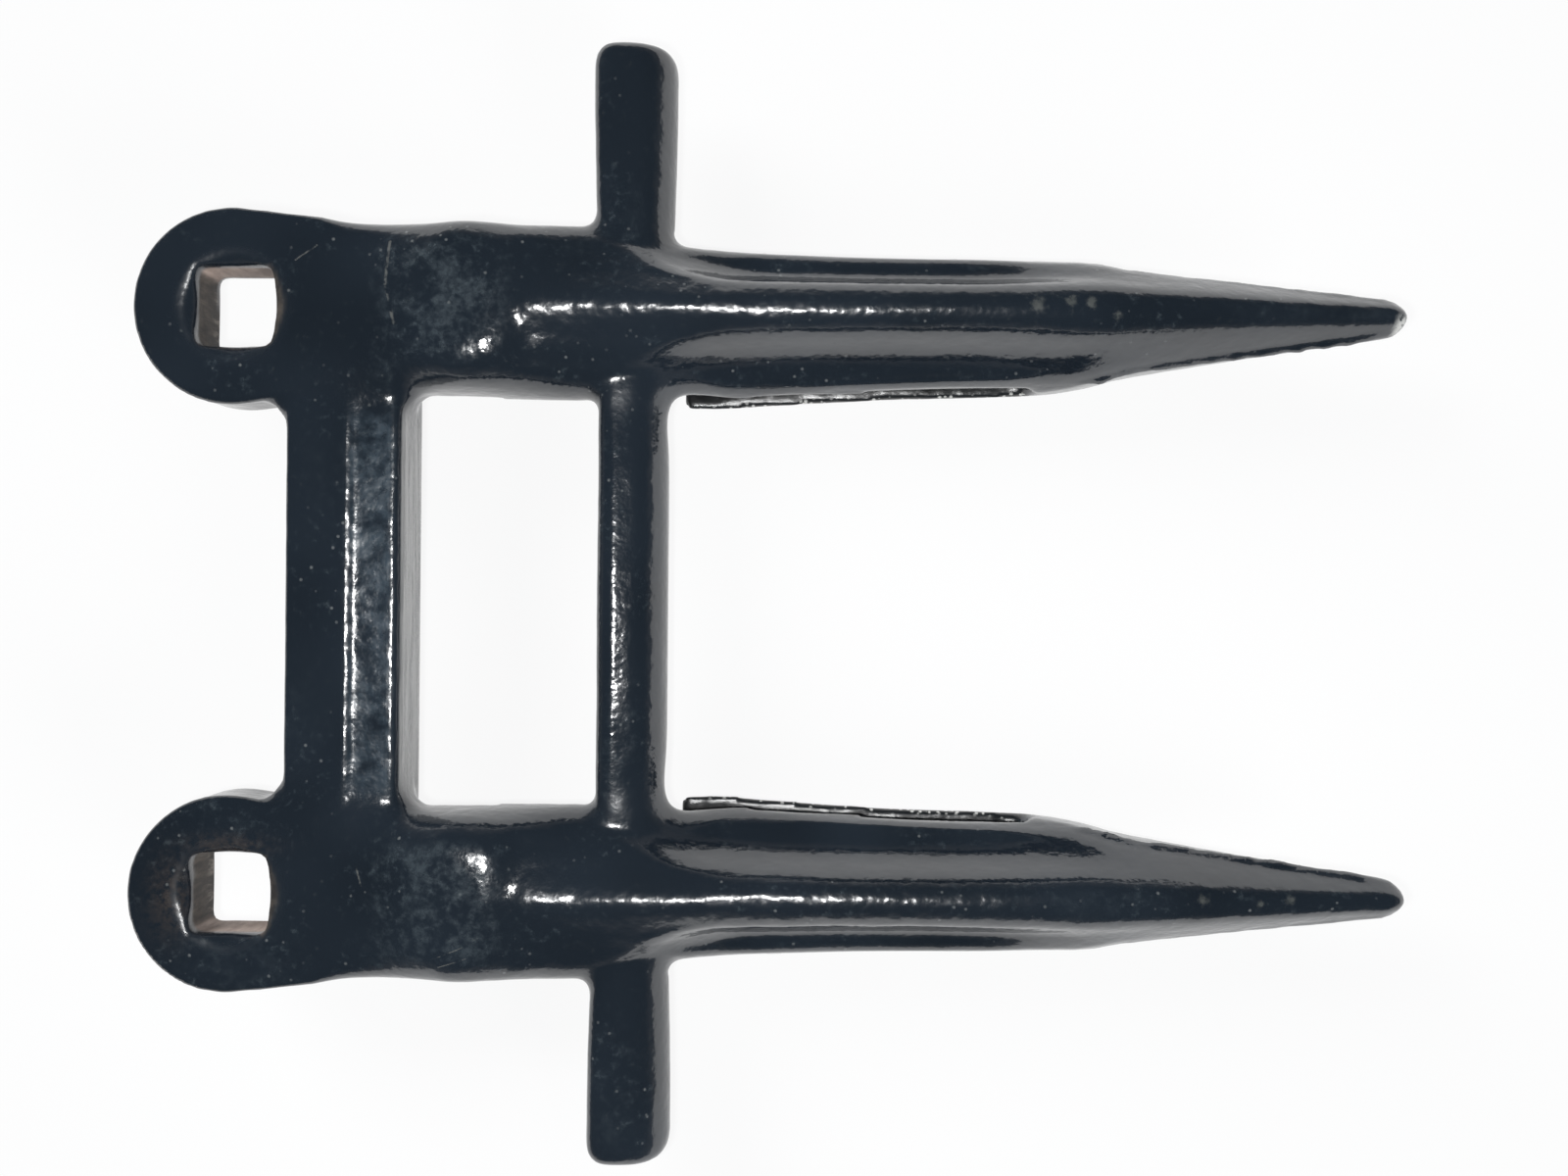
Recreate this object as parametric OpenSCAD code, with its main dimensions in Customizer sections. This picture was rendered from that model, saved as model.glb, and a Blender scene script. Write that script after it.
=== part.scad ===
// Double-finger mower knife guard, cast in one piece.
// The frame: origin midway between the two bolt holes on the lugs' mounting faces,
// +X towards the finger tips, +Z towards the keel (ground) side. The knife runs on the -Z side.

/* [Bolt lugs] */
// Distance between the two bolt holes, which is also the distance between the fingers
finger_pitch = 76.2; // [70:0.1:84]
// Side of each square bolt hole
bolt_square = 10.4; // [9:0.1:13]
// Corner radius of each square bolt hole
bolt_corner_r = 1.2; // [0.5:0.1:2]
// Widest diameter of the round countersink over each square hole
sink_d = 13.8; // [13.2:0.1:15]
// Depth of that countersink
sink_depth = 1.3; // [0.8:0.1:4]
// Radius of the round end of each lug
lug_r = 13.1; // [12:0.1:16]
// Distance from the bolt hole back to the centre of the lug's round end
lug_back = 0.4; // [0:0.1:2]
// Thickness of each lug
lug_t = 8.5; // [7:0.1:11]
// Rounding of the lug's edges
lug_edge_r = 1.8; // [0.8:0.1:2.5]

/* [Rear bar] */
// Distance from the bolt holes to the rear face of the rear bar
rear_bar_back = 6.5; // [5.4:0.1:8]
// Distance from the bolt holes to the front wall of the rear bar
rear_bar_front = 21.7; // [20:0.1:24]
// Distance from the bolt holes to the crease along the rear bar
rear_bar_crease = 14.9; // [13:0.1:17]
// How far the rear bar's shoulder and the ledgers stand below the mounting face
knife_drop = 3; // [2:0.1:4]
// Distance from the bolt holes to the shoulder that meets the cutter bar's edge
shoulder_x = 12; // [10:0.1:14]
// How far the front of the rear bar falls away below the lugs' upper face
rear_bar_fall = 1.6; // [0.5:0.1:2.5]

/* [Front bar] */
// Distance from the bolt holes to the rear edge of the front bar
front_bar_back = 46.7; // [44:0.1:50]
// Width of the front bar between the fingers
front_bar_w = 9.1; // [8.5:0.1:12]
// Height of the front bar's top above the mounting face
front_bar_top = 5.2; // [4:0.1:6]
// Overall length of the front bar over its stub ends
front_bar_len = 148.6; // [140:0.2:152]
// How much wider the stub ends are than the bar
stub_flare = 1.7; // [0:0.1:2]
// How far the rounded ends of the stubs are crowned
stub_crown = 3; // [1:0.1:4]

/* [Fingers] */
// Distance from the bolt holes to the finger tips
finger_reach = 153; // [140:0.5:170]
// Distance from the bolt holes to the closed front end of the knife slots
slot_front = 105; // [98:0.5:112]
// Distance from the bolt holes to the rear end of the lips
lip_back = 57.5; // [57:0.5:80]
// Height of the knife slot between ledger and lip
slot_h = 4.4; // [4.2:0.1:6]
// Thickness of the lip at the slot's front end
lip_t = 3; // [2:0.1:4]
// How much wider the lip is than the ledger, on each side
lip_step = 0.3; // [0:0.05:0.8]
// How much further the lip flares out at its rear end, on each side
lip_flare = 0.9; // [0:0.1:1.4]
// Height of the finger's crest above the mounting face, over the ledger
crest_h = 9.5; // [8:0.1:11]
// Height of the boss behind the window above the mounting face
boss_h = 11; // [9.5:0.1:12.5]
// Half width of the boss
boss_half_w = 11.2; // [10.5:0.1:13]
// How far the boss stands outwards of the finger's axis
boss_offset = 0.5; // [0:0.1:1.5]
// Half width of the ledger where it leaves the front bar
ledger_back_half_w = 10.1; // [9:0.1:11.5]
// Half width of the ledger at the slot's front end
ledger_front_half_w = 8.7; // [7:0.1:9.5]
// Half width of the finger just behind the rounded tip
tip_half_w = 2.4; // [1.8:0.1:4]
// Height of the middle of the tip above the mounting face
tip_h = 2.6; // [1:0.1:4]

/* [Blends] */
// Corner radius of the window's rear corners and of the lugs' inner corners
rear_fillet_r = 3.8; // [2:0.1:5]
// Corner radius where the front bar meets the fingers
front_fillet_r = 3.2; // [1.5:0.1:4]

/* [Hidden] */

finger_y = finger_pitch / 2;
slot_top = -knife_drop;
slot_low = -knife_drop - slot_h;
lip_low = slot_low - lip_t;
front_bar_front = front_bar_back + front_bar_w;
// Overlap that makes joined shapes share material
bite = 0.6;
// Length of tool that passes clear of the part
past = 40;
// Thickness of a slice that stands for an outline
sliver = 0.05;
enamel = "#1c242d";

// Facets round a full turn of a lug or hole edge
$fn = 56;
// Sections along a finger
loft_steps = 46;
// Sections round a finger's nose
nose_steps = 5;
// Points along each half of a section's upper curve
curve_steps = 13;
// Points round the front bar's outline
bar_steps = 30;

// Value between two numbers or points
function mix(a, b, t) = a + (b - a) * t;

// Eased step from 0 to 1 as x passes from a to b
function ease(a, b, x) = let (t = max(0, min(1, (x - a) / (b - a)))) t * t * (3 - 2 * t);

// Slope of a table of [x, value] rows at row i
function slope(rows, i) =
    let (a = max(0, i - 1), b = min(len(rows) - 1, i + 1))
    (rows[b][1] - rows[a][1]) / (rows[b][0] - rows[a][0]);

// Row of the table whose stretch holds x
function row_at(rows, x, i = 0) = i >= len(rows) - 2 || x < rows[i + 1][0] ? i : row_at(rows, x, i + 1);

// Smooth value at x through a table of [x, value] rows
function curve(rows, x) =
    let (
        i = row_at(rows, x),
        h = rows[i + 1][0] - rows[i][0],
        t = max(0, min(1, (x - rows[i][0]) / h)),
        a = rows[i][1],
        b = rows[i + 1][1],
        da = slope(rows, i) * h,
        db = slope(rows, i + 1) * h
    )
    a + t * (da + t * (3 * (b - a) - 2 * da - db + t * (2 * (a - b) + da + db)));

// Point at t, from 0 to 1, on the quadratic B-spline of a control polygon, clamped at both ends
function spline(p, t) =
    let (
        spans = len(p) - 2,
        i = min(spans - 1, floor(t * spans)),
        u = t * spans - i,
        a = i == 0 ? p[0] : (p[i] + p[i + 1]) / 2,
        b = p[i + 1],
        c = i == spans - 1 ? p[i + 2] : (p[i + 1] + p[i + 2]) / 2
    )
    (1 - u) * (1 - u) * a + 2 * u * (1 - u) * b + u * u * c;

// Half sections of a finger, as shares of its half width and of its height from ledger to crest
dome_section = [
    [0, 1], [0.3, 0.995], [0.56, 0.98], [0.8, 0.93], [0.96, 0.79], [1, 0.5], [1, 0.25], [1, 0]
];
// The crest stands out of the boss here, while its shoulders fall away
ridge_section = [
    [0, 1], [0.1, 0.997], [0.3, 0.95], [0.53, 0.86], [0.77, 0.72], [0.96, 0.56], [1, 0.28], [1, 0]
];
rib_section = [
    [0, 1], [0.08, 0.997], [0.25, 0.935], [0.38, 0.82], [0.54, 0.4], [0.74, 0.365], [0.96, 0.21], [1, 0]
];
roof_section = [
    [0, 1], [0.12, 0.996], [0.3, 0.94], [0.46, 0.81], [0.64, 0.58], [0.83, 0.3], [0.97, 0.09], [1, 0]
];

// Stations along a finger
boss_back = mix(rear_bar_back, rear_bar_front, 0.4);
boss_top = mix(rear_bar_front, front_bar_back, 0.25);
tip_start = mix(slot_front, finger_reach, 0.25);
tip_mid = mix(slot_front, finger_reach, 0.6);
tip_round = finger_reach - 1.5 * tip_half_w;

half_w_rows = [
    [boss_back, boss_half_w],
    [boss_top, boss_half_w],
    [front_bar_back, boss_half_w + 0.4],
    [front_bar_front, mix(boss_half_w, ledger_back_half_w, 0.8)],
    [mix(front_bar_front, slot_front, 0.1), ledger_back_half_w],
    [mix(front_bar_front, slot_front, 0.45), mix(ledger_back_half_w, ledger_front_half_w, 0.55)],
    [slot_front, ledger_front_half_w],
    [mix(slot_front, tip_start, 0.6), mix(ledger_front_half_w, tip_half_w, 0.12)],
    [tip_start, mix(ledger_front_half_w, tip_half_w, 0.31)],
    [tip_mid, mix(ledger_front_half_w, tip_half_w, 0.68)],
    [tip_round, tip_half_w]
];

crest_rows = [
    [boss_back, lug_t - 0.3],
    [mix(boss_back, boss_top, 0.3), mix(lug_t, boss_h, 0.12)],
    [mix(boss_back, boss_top, 0.65), mix(lug_t, boss_h, 0.65)],
    [boss_top, boss_h],
    [mix(boss_top, front_bar_back, 0.55), mix(boss_h, crest_h, 0.5)],
    [front_bar_back, crest_h + 0.1],
    [mix(front_bar_front, slot_front, 0.5), crest_h],
    [slot_front, crest_h - 0.4],
    [tip_start, crest_h - 1.1],
    [tip_mid, mix(crest_h - 1.1, tip_h + tip_half_w, 0.45)],
    [tip_round, tip_h + tip_half_w]
];

edge_rows = [
    [boss_back, slot_top - 0.2],
    [slot_front, slot_top - 0.2],
    [mix(slot_front, tip_start, 0.5), mix(slot_top, tip_h, 0.3)],
    [tip_start, mix(slot_top, tip_h, 0.55)],
    [tip_mid, mix(slot_top, tip_h, 0.82)],
    [tip_round, tip_h]
];

low_rows = [
    [boss_back, slot_top - 1],
    [lip_back - lip_t, slot_top - 1],
    [lip_back, lip_low + 0.9],
    [mix(lip_back, slot_front, 0.6), lip_low + 0.3],
    [slot_front, lip_low],
    [tip_start, mix(lip_low, tip_h - tip_half_w, 0.2)],
    [tip_mid, mix(lip_low, tip_h - tip_half_w, 0.7)],
    [tip_round, tip_h - tip_half_w]
];

// Share of the half width and height left at x, which rounds the tip off
function tip_share(x) =
    let (t = (x - tip_round) / (finger_reach - tip_round))
    x <= tip_round ? 1 : sqrt(max(0, 1 - t * t));

// One half section at x, from the crest to the ledger's edge
function half_section(x) =
    let (
        to_ridge = ease(mix(rear_bar_front, front_bar_back, 0.28), front_bar_back, x),
        to_rib = ease(mix(front_bar_back, front_bar_front, 0.15), mix(front_bar_front, slot_front, 0.19), x),
        to_roof = ease(mix(front_bar_front, slot_front, 0.75), mix(tip_start, tip_mid, 0.5), x)
    )
    mix(mix(mix(dome_section, ridge_section, to_ridge), rib_section, to_rib), roof_section, to_roof);

// The closed section at x: crest to edge on one side, the underside, and back on the other side
function finger_section(x) =
    let (
        share = tip_share(x),
        w = curve(half_w_rows, x) * share,
        edge = mix(tip_h, curve(edge_rows, x), share),
        top = mix(tip_h, curve(crest_rows, x), share),
        under = mix(tip_h, curve(low_rows, x), share),
        shift = boss_offset * (1 - ease(front_bar_back, mix(front_bar_front, slot_front, 0.2), x)),
        flare = lip_flare * (1 - ease(lip_back, mix(lip_back, slot_front, 0.85), x)),
        step = (lip_step + flare) * share * ease(edge, edge - 0.8, under),
        control = half_section(x),
        depth = edge - under,
        side = [
            for (i = [0 : curve_steps])
                let (p = spline(control, i / curve_steps))
                [w * p[0], mix(edge, top, p[1])]
        ],
        underside = [
            [w + step, edge - 0.12 * depth],
            [w + step, edge - 0.5 * depth],
            [w + 0.6 * step, edge - 0.8 * depth],
            [w * 0.86, edge - 0.94 * depth],
            [w * 0.45, under]
        ],
        half = concat(side, underside)
    )
    concat(
        [for (p = half) [x, shift + p[0], p[1]]],
        [for (i = [len(half) - 1 : -1 : 1]) [x, shift - half[i][0], half[i][1]]]
    );

// Joins closed sections of equal length into one solid
module loft(sections) {
    n = len(sections[0]);
    last = len(sections) - 1;
    points = [for (s = sections) each s];
    walls = [
        for (k = [0 : last - 1], i = [0 : n - 1])
            let (j = (i + 1) % n, a = k * n, b = (k + 1) * n)
            each [[a + i, b + j, b + i], [a + i, a + j, b + j]]
    ];
    back_cap = [[for (i = [n - 1 : -1 : 0]) i]];
    front_cap = [[for (i = [0 : n - 1]) last * n + i]];
    polyhedron(points, concat(walls, back_cap, front_cap), convexity = 6);
}

// Evenly spaced stations from one x to another
function stations(from, to, count) = [for (i = [0 : count]) mix(from, to, i / count)];

// Outline, seen from the side, of all that is cut away on the knife side of a finger:
// the room for the knife's back bar, the space behind the lip and the slot with its round front end
module knife_outline() {
    r = slot_h / 2;
    behind = rear_bar_front - 1;
    before = front_bar_back + 1;
    middle = [slot_front - r, slot_low + r];
    front = [for (i = [0 : 8]) middle + r * [cos(i * 22.5 - 90), sin(i * 22.5 - 90)]];
    polygon(concat(
        [[boss_back - 1, slot_low - past], [lip_back - 2 * lip_t, slot_low - past], [lip_back, slot_low]],
        front,
        [[before, slot_top], [before, 0], [behind, 0]],
        [[behind, slot_top + 1.3], [boss_back - 1, slot_top + 1.3]]
    ));
}

// Turns an outline drawn in X and Z into a bar along Y, centred on Y
module across(length) {
    rotate([90, 0, 0]) linear_extrude(length, center = true) children();
}

// One finger from its boss to its tip, cut open on its knife side
module finger() {
    nose = [for (i = [1 : nose_steps]) mix(tip_round, finger_reach, sin(i * 85 / nose_steps))];
    xs = concat(stations(boss_back, tip_round, loft_steps), nose);
    difference() {
        loft([for (x = xs) finger_section(x)]);
        across(past) knife_outline();
    }
}

// Outline of the front bar seen along Y: steep behind, long and round in front
function bar_outline(extra, inset) =
    let (
        low = slot_top + 0.4 + inset,
        top = front_bar_top - inset,
        back = front_bar_back - extra / 2 + inset,
        front = front_bar_front + extra / 2 - inset,
        shares = [
            [0.5, 0], [0.06, 0], [0, 0.08], [0, 0.45], [0.01, 0.84], [0.12, 1], [0.34, 1.01],
            [0.68, 0.94], [0.92, 0.64], [1, 0.32], [1, 0.08], [0.94, 0], [0.5, 0]
        ],
        control = [for (p = shares) [mix(back, front, p[0]), mix(low, top, p[1])]]
    )
    [for (i = [0 : bar_steps - 1]) spline(control, i / bar_steps)];

// The front bar with its stubs, which grow a little wider and have crowned ends
module front_bar() {
    reach = front_bar_len / 2;
    root = finger_y + boss_half_w + 1.7;
    half = [
        [finger_y - bite, 0, 0],
        [root, stub_flare * 0.6, 0],
        [mix(root, reach, 0.3), stub_flare * 0.85, 0],
        [mix(root, reach, 0.6), stub_flare, 0],
        [reach - stub_crown, stub_flare, 0],
        [reach - stub_crown * 0.5, stub_flare, stub_crown * 0.1],
        [reach - stub_crown * 0.15, stub_flare, stub_crown * 0.38],
        [reach, stub_flare, stub_crown * 0.75]
    ];
    last = len(half) - 1;
    rows = concat([for (i = [last : -1 : 0]) half[i]], [for (r = half) [-r[0], r[1], r[2]]]);
    loft([for (row = rows) [for (p = bar_outline(row[1], row[2])) [p[0], row[0], p[1]]]]);
}

// The rear bar with its crease, its front wall and the shoulder on the knife side
module rear_bar() {
    top = lug_t - 0.6;
    edge = 1;
    outline = [
        [rear_bar_back, 0.4],
        [rear_bar_back, top - 1.6],
        [rear_bar_back + 0.5, top - 0.5],
        [rear_bar_back + 1.6, top],
        [rear_bar_crease - edge, top],
        [rear_bar_crease, top - 0.12],
        [rear_bar_crease + edge, top - 0.45],
        [rear_bar_front - 1.2, lug_t - rear_bar_fall],
        [rear_bar_front - 0.4, lug_t - rear_bar_fall - 0.4],
        [rear_bar_front, lug_t - rear_bar_fall - 1.2],
        [rear_bar_front, slot_top],
        [shoulder_x + 0.4, slot_top],
        [shoulder_x, slot_top + 0.4],
        [shoulder_x, 0.4]
    ];
    across(2 * (finger_y + boss_half_w * 0.9)) polygon(outline);
}

// Outline of a bolt lug, round behind and running into the boss in front
module lug_outline(inset) {
    neck_x = rear_bar_front - bite;
    half = boss_half_w - 1.05 - inset;
    hull() {
        translate([-lug_back, 0]) circle(lug_r - inset);
        translate([neck_x - 1, boss_offset - half]) square([1, 2 * half]);
    }
}

// One bolt lug with rounded edges on its keel side
module lug() {
    slices = [
        [0, 0.5],
        [0.5, 0],
        [lug_t - lug_edge_r, 0],
        [lug_t - lug_edge_r * 0.62, lug_edge_r * 0.08],
        [lug_t - lug_edge_r * 0.3, lug_edge_r * 0.29],
        [lug_t - lug_edge_r * 0.08, lug_edge_r * 0.62],
        [lug_t, lug_edge_r]
    ];
    hull() {
        for (slice = slices) {
            translate([0, 0, max(0, slice[0] - sliver)]) linear_extrude(sliver) lug_outline(slice[1]);
        }
    }
}

// The square bolt hole with its round countersink on the keel side
module bolt_hole() {
    a = bolt_square / 2 - bolt_corner_r;
    corners = [[a, a], [-a, a], [-a, -a], [a, -a]];
    outline = [
        for (k = [0 : 3], i = [0 : 5])
            corners[k] + bolt_corner_r * [cos(k * 90 + i * 18), sin(k * 90 + i * 18)]
    ];
    translate([0, 0, -past / 2]) linear_extrude(past) polygon(outline);
    translate([0, 0, lug_t - sink_depth])
        cylinder(sink_depth + sliver, d1 = bolt_square - sliver, d2 = sink_d);
}

// A concave corner of radius r that fills the angle between two walls, towards +x and +y from their corner.
// The arc runs a little way into both walls.
module blend(r, z_from, z_to) {
    c = r - 0.15;
    arc = [for (i = [0 : 8]) [c - r * sin(i * 11.25), c - r * cos(i * 11.25)]];
    outline = concat([[-bite, -bite], [c, -bite]], arc, [[-bite, c]]);
    translate([0, 0, z_from]) linear_extrude(z_to - z_from) polygon(outline);
}

// The blends of one side, where bars, lug and finger meet
module blends() {
    inner = boss_offset - boss_half_w;
    outer = boss_offset + boss_half_w;
    ledger = ledger_back_half_w;
    low = slot_top + 0.7;
    bar_mid = mix(slot_top, front_bar_top, 0.55);
    rear_top = lug_t - rear_bar_fall - 0.9;
    translate([rear_bar_front, inner + 0.2, 0]) mirror([0, 1, 0]) blend(rear_fillet_r, 0.4, rear_top);
    translate([front_bar_back, inner + 0.4, 0]) rotate(180) blend(front_fillet_r, 0.5, bar_mid);
    translate([front_bar_front, 0.4 - ledger, 0]) mirror([0, 1, 0]) blend(front_fillet_r, low, low + 1.8);
    translate([front_bar_back - stub_flare * 0.3, outer - 0.4, 0])
        mirror([1, 0, 0]) blend(front_fillet_r * 0.6, 0.5, bar_mid);
    translate([front_bar_front, ledger - 0.2, 0]) blend(front_fillet_r, low, low + 1.8);
    translate([rear_bar_back, 1 - lug_r, 0]) rotate(180) blend(rear_fillet_r + 0.7, 0.5, lug_t - lug_edge_r);
}

// The body of the guard before its bolt holes: the bars and two mirrored halves
module casting() {
    rear_bar();
    front_bar();
    for (flip = [0, 1]) mirror([0, flip, 0]) translate([0, finger_y, 0]) {
        lug();
        finger();
        blends();
    }
}

// The whole guard
module knife_guard() {
    color(enamel) difference() {
        casting();
        for (side = [-1, 1]) translate([0, side * finger_y, 0]) bolt_hole();
    }
}

knife_guard();
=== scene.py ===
"""Enamelled mower knife guard on a white table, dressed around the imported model."""
import math

import bmesh
import bpy
import numpy as np
from mathutils import Matrix, Vector


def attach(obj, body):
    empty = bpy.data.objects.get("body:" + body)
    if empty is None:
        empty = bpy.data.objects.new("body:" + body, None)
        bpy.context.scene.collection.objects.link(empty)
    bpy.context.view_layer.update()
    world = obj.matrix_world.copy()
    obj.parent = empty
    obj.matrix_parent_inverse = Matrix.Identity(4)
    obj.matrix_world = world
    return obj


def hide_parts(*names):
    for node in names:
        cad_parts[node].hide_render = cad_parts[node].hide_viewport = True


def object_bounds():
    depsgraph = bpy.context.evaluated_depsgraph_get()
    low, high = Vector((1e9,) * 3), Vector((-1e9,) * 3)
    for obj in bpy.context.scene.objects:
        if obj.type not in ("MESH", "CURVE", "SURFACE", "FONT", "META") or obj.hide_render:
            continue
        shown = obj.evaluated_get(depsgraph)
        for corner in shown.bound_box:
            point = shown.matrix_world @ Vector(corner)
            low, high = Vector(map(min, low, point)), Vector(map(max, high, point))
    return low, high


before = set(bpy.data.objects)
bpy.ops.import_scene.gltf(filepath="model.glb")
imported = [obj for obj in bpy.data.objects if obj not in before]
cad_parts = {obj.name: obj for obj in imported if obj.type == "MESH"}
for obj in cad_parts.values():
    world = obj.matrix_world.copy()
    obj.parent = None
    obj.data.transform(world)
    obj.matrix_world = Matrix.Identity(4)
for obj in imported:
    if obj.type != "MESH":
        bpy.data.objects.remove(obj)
cad_low, cad_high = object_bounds()
MM = 0.001

# Places on the casting, in millimetres, as the solid has them
FINGER_Y = 38.1
LUG_BACK = 0.4
BAR_CREASE = 14.9
BAR_FRONT = 21.7
FRONT_BAR_BACK = 46.7
LEDGER_Z = -3.0
LIP_TOP = -7.4
LIP_BACK = 57.5
SLOT_FRONT = 105.0
FLANGE_BACK_HALF = 10.1
FLANGE_FRONT_HALF = 8.7
TIP_X = 153.0
# How far the ridge lies outside the middle of its finger
RIDGE_SIDE = 0.3
# The parting line of the tips: x and z
PARTING_LINE = ((105.0, -3.2), (111.0, -1.3), (117.0, 0.1), (134.0, 1.6), (149.5, 2.6))

# Stretches along X, in millimetres: where each begins, is full, starts to fade and has faded
SLOT_X = (LIP_BACK - 12.0, LIP_BACK - 8.0, SLOT_FRONT, SLOT_FRONT + 3.0)
SHOULDER_X = (11.0, 14.0, 25.0, 29.0)
BAR_CORNER_X = (50.0, 53.0, 60.0, 64.0)
FLANK_X = (60.0, 66.0, 104.0, 110.0)
BOSS_TOP_X = (19.0, 25.0, 33.0, 38.0)
BOSS_DROP_X = (33.0, 38.0, 42.0, 54.0)
ROOF_X = (35.0, 39.0, 56.0, 72.0)
RIDGE_X = (36.0, 39.0, 56.0, 70.0)
OUTER_FLANGE_X = (62.0, 68.0, 100.0, 112.0)
INNER_FLANGE_X = (66.0, 78.0, 100.0, 108.0)
FLANGE_REACH_X = (55.0, 68.0, 66.0, 98.0)
FIN_X = (109.0, 114.0, 145.0, 151.0)
KEEL_X = (36.0, 40.0, 96.0, 112.0)
FACET_X = (BAR_CREASE - 0.3, BAR_CREASE + 0.8, 20.2, 21.0)
WINDOW_WALL_X = (BAR_FRONT, 24.0, 38.0, 44.0)
SCUFF_X = (17.0, 22.0, 33.0, 38.0)

# The even mesh: its grain in millimetres and the distance in metres at which points are welded
VOXEL = 0.58
WELD = 1e-6
# Rounds of smoothing
EVEN_ROUNDS = 14
FILL_PASSES = 6
FILL_SPREAD = 3
FILL_ROUNDS = 7
SHOULDER_ROUNDS = 60
FLANK_ROUNDS = 40
LAST_ROUNDS = 6
# Each round pulls a point to its neighbours' mean, and then back by a little more
PULL = 0.5
PUSH_BACK = -0.53
NO_PUSH = 0.0

# How far the skin leaves the smoothed solid, in millimetres
BOSS_TOP_RISE = 0.28
BOSS_DROP = 0.2
RIDGE_RISE = 0.3
ROOF_DROP = 0.5
OUTER_FLANGE_RISE = 0.6
INNER_FLANGE_RISE = 0.5
FLANGE_REACH = 0.5
LUG_RIM_RISE = 0.45
LUG_WALL_DROP = 0.4
FIN_RISE = 0.65
CROWN_RISE = 0.12
CREASE_RISE = 0.14
FRONT_EDGE_RISE = 0.08
LIP_EDGE_RISE = 0.1
PARTING_RISE = 0.16
# Slow waves of the casting: height, grain and seed
WAVES = (
    (0.05, 14.0, 1),
    (0.035, 6.0, 2),
    (0.03, 2.2, 3),
)
# The skin stays this far inside the solid's box
SKIN_INSET = 0.02

# Chips in the paint of the crests: x, y, half length along X and half width along Y
CHIPS = (
    (103.8, 38.5, 0.8, 1.5),
    (108.0, 38.9, 0.7, 1.1),
    (110.6, 38.8, 0.7, 1.0),
    (114.0, 37.2, 0.6, 0.6),
    (125.5, -37.4, 0.8, 0.7),
    (133.0, -38.0, 0.6, 0.5),
    (137.0, -37.6, 0.6, 0.5),
)
# Scratches, from one point to another as seen from above, and their half widths
SCRATCHES = (
    ((20.6, 46.2), (20.2, 40.6), 0.26),
    ((20.2, 40.2), (20.9, 38.0), 0.2),
    ((8.2, 43.9), (11.0, 45.8), 0.14),
    ((21.0, 37.4), (21.4, 35.6), 0.3),
    ((16.9, -34.2), (17.6, -36.6), 0.16),
    ((27.0, -45.6), (32.0, -43.6), 0.1),
    ((28.0, -46.6), (31.6, -45.4), 0.1),
)

# Colours of the finish, as sRGB values from 0 to 255
PAINT_DARK = (18, 24, 31)
PAINT_LIGHT = (28, 35, 43)
# A painted reflection of the white table on upright walls, broken into streaks
PAINTED_WALL_REFLECTION = (150, 150, 148)
SCUFFED_PAINT = (78, 87, 92)
# A film that is partly dust and partly a painted sheen of glare
DUST_AND_SHEEN_FILM = (68, 84, 96)
DUST_SPECK = (140, 143, 142)
SMEARED_DUST = (66, 76, 82)
SCRATCHED_PAINT = (112, 112, 108)
PRIMER = (108, 110, 104)
# Painted shade: the lips are darker than the enamel where the slots shade them
LIP_PAINTED_SHADE = (10, 12, 15)
# Bare metal, also used as a painted glint on the upper tip and as painted glints on the lips' edges
BARE_METAL_AND_GLINT = (196, 196, 192)
DARK_RUST_LOW = (48, 44, 41)
DARK_RUST_HIGH = (92, 84, 76)
PALE_STROKE = (158, 150, 142)
# Lighter copies of the rust, as painted light on the hole walls that face the lamp
PAINTED_LIT_RUST_LOW = (150, 132, 122)
PAINTED_LIT_RUST_HIGH = (190, 172, 162)
WORN_BROWN = (74, 64, 57)

# Roughness of the surfaces, and the enamel's refraction
ROUGH_ENAMEL_LOW = 0.08
ROUGH_ENAMEL_HIGH = 0.17
ROUGH_BEADS = 0.24
ROUGH_DUSTY = 0.26
ROUGH_BARE = 0.42
ROUGH_DULL = 0.34
ROUGH_RUST = 0.8
ENAMEL_IOR = 1.84
# Depths of the fine relief, in millimetres
GRAIN_DEPTH = 0.08
BEAD_GRAIN_DEPTH = 0.22
PEEL_DEPTH = 0.035


# Small helpers on arrays of points

def smooth_step(a, b, x):
    """0 up to a, 1 from b on, and smooth between them."""
    t = np.clip((x - a) / (b - a), 0.0, 1.0)
    return t * t * (3.0 - 2.0 * t)


def band(x, stretch):
    """1 along a stretch, with soft ends."""
    begins, full, fades, gone = stretch
    return smooth_step(begins, full, x) * (1.0 - smooth_step(fades, gone, x))


def bump_at(x, centre, half_width):
    """1 at the centre, fading to both sides."""
    return np.exp(-((x - centre) / half_width) ** 2)


def lattice_value(i, j, k, seed):
    """A repeatable number from 0 to 1 for each lattice cell."""
    word = 0xFFFFFFFF
    half_word = 0xFFFF
    n = (i * 374761393 + j * 668265263 + k * 2147483647 + seed * 1274126177) & word
    n = ((n ^ (n >> 13)) * 1274126177) & word
    return ((n ^ (n >> 16)) & half_word) / half_word


def value_noise(points, size, seed):
    """Smooth noise from -1 to 1 whose grains are about size millimetres."""
    p = points / size
    cell = np.floor(p).astype(np.int64)
    f = p - cell
    f = f * f * (3.0 - 2.0 * f)
    total = np.zeros(len(points))
    for dx in (0, 1):
        wx = f[:, 0] if dx else 1.0 - f[:, 0]
        for dy in (0, 1):
            wy = f[:, 1] if dy else 1.0 - f[:, 1]
            for dz in (0, 1):
                wz = f[:, 2] if dz else 1.0 - f[:, 2]
                corner = lattice_value(cell[:, 0] + dx, cell[:, 1] + dy, cell[:, 2] + dz, seed)
                total += wx * wy * wz * corner
    return total * 2.0 - 1.0


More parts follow.
